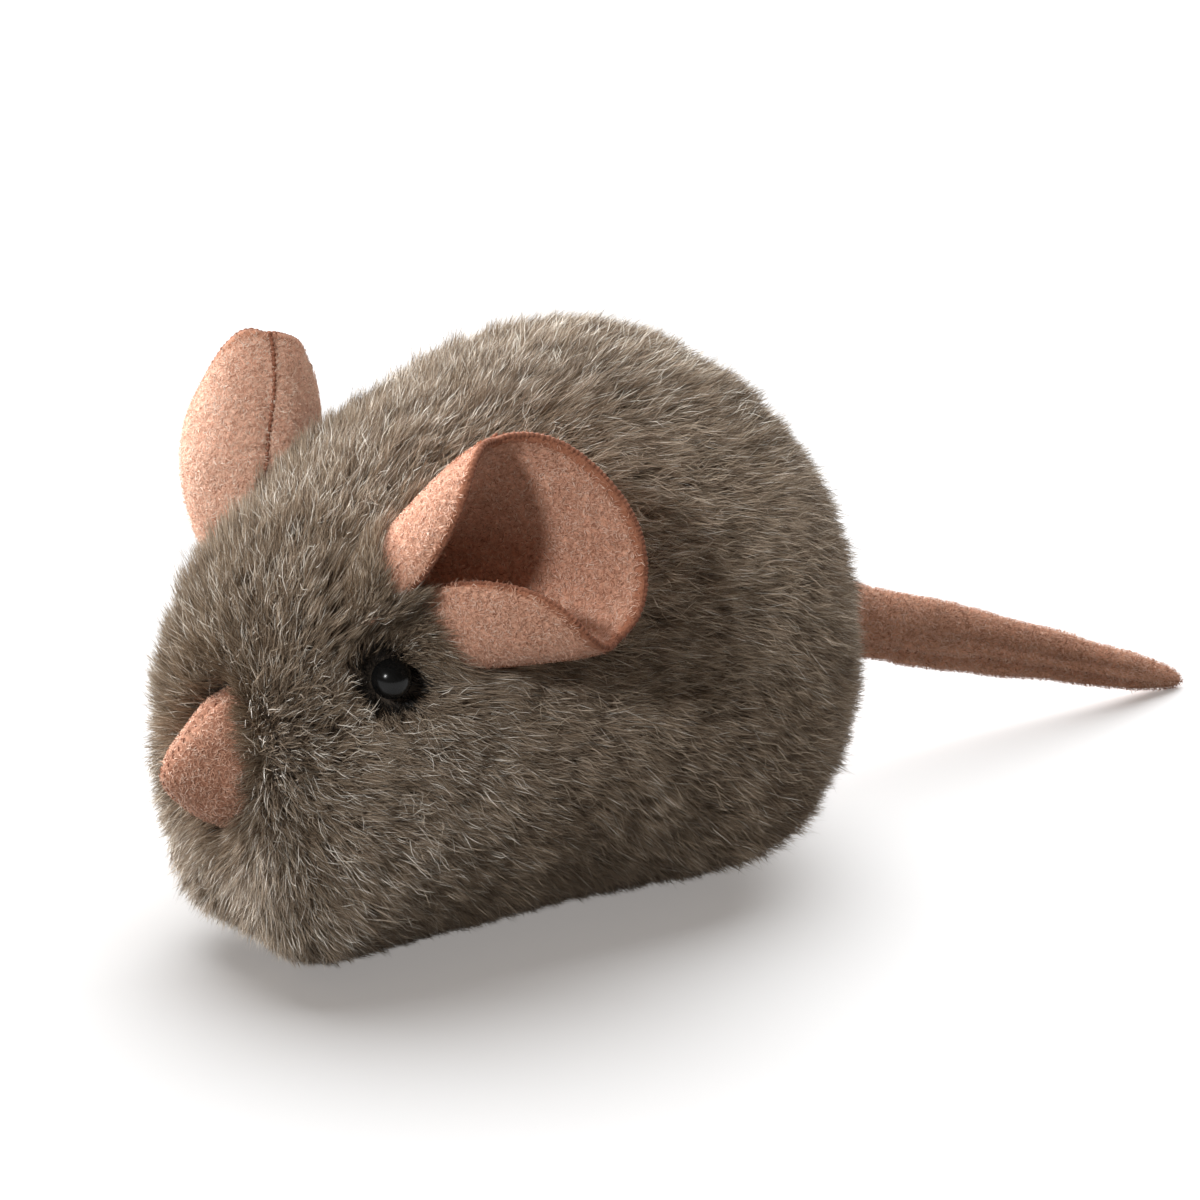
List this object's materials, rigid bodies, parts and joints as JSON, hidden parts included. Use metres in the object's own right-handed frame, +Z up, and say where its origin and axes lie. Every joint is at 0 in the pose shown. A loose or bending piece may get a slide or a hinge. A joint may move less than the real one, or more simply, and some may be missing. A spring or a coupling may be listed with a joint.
{
  "type": "catnip mouse toy",
  "caption": "Stuffed catnip mouse with a grey-brown faux-fur body on a flat belly, cupped suede ears, a stitched suede nose, bead eyes and a tapered suede tail that swings and lifts.",
  "frame": {"origin": "middle of the body's length on the flat underside of the belly panel, on the mid-plane", "axes": "+Z up out of the back, +Y from the nose to the tail, +X to the mouse's left"},
  "size_m": [0.0864, 0.1834, 0.0804],
  "materials": {
    "fur": "grey-brown short faux fur, combed back from the nose, matt with fine light tips",
    "fibre_filling": "white loose polyester fibre",
    "pouch_cloth": "unbleached thin cotton",
    "dried_leaf": "dry crumbled green leaf",
    "grey_thread": "matt grey sewing thread",
    "black_bead": "polished black",
    "washer_plastic": "plain white",
    "suede": "salmon-brown suede with a short nap",
    "suede_lining": "lighter salmon suede with a short nap",
    "rust_thread": "matt rust-coloured thread"
  },
  "bodies": {
    "body": {"back_seam_thread": "grey_thread", "belly_panel": "fur", "belly_seam_thread": "grey_thread", "body_filling": "fibre_filling", "catnip_pouch": "pouch_cloth", "chin_seam_thread": "grey_thread", "dried_catnip": "dried_leaf", "left_eye": "black_bead", "left_eye_washer": "washer_plastic", "left_side_panel": "fur", "nose_filling": "fibre_filling", "nose_left_panel": "suede", "nose_right_panel": "suede", "nose_seam_thread": "rust_thread", "right_eye": "black_bead", "right_eye_washer": "washer_plastic", "right_side_panel": "fur", "rump_seam_thread": "grey_thread"},
    "left_ear": {"left_ear_back": "suede", "left_ear_lining": "suede_lining", "left_ear_stitching": "rust_thread", "left_ear_dart_stitching": "rust_thread", "left_ear_anchor_stitches": "rust_thread"},
    "right_ear": {"right_ear_back": "suede", "right_ear_lining": "suede_lining", "right_ear_stitching": "rust_thread", "right_ear_dart_stitching": "rust_thread", "right_ear_anchor_stitches": "rust_thread"},
    "tail_root": {"tail_anchor_stitches": "rust_thread"},
    "tail": {"tail_sleeve": "suede", "tail_filling": "fibre_filling", "tail_seam_thread": "rust_thread"}
  },
  "joints": [
    {"name": "left_ear_fold", "type": "hinge", "parent": "body", "child": "left_ear", "pos_m": [0.02587, -0.01509, 0.04735], "axis": [-0.5394, -0.5161, 0.6654], "range_deg": [-14, 14], "stiffness_Nm_per_rad": 0.008},
    {"name": "right_ear_fold", "type": "hinge", "parent": "body", "child": "right_ear", "pos_m": [-0.02587, -0.01509, 0.04735], "axis": [-0.5394, 0.5161, -0.6654], "range_deg": [-14, 14], "stiffness_Nm_per_rad": 0.008},
    {"name": "tail_swing", "type": "hinge", "parent": "body", "child": "tail_root", "pos_m": [0, 0.0476, 0.031], "axis": [0, 0, 1], "range_deg": [-35, 35]},
    {"name": "tail_lift", "type": "hinge", "parent": "tail_root", "child": "tail", "pos_m": [0, 0.0476, 0.031], "axis": [1, 0, 0], "range_deg": [0, 40]}
  ]
}
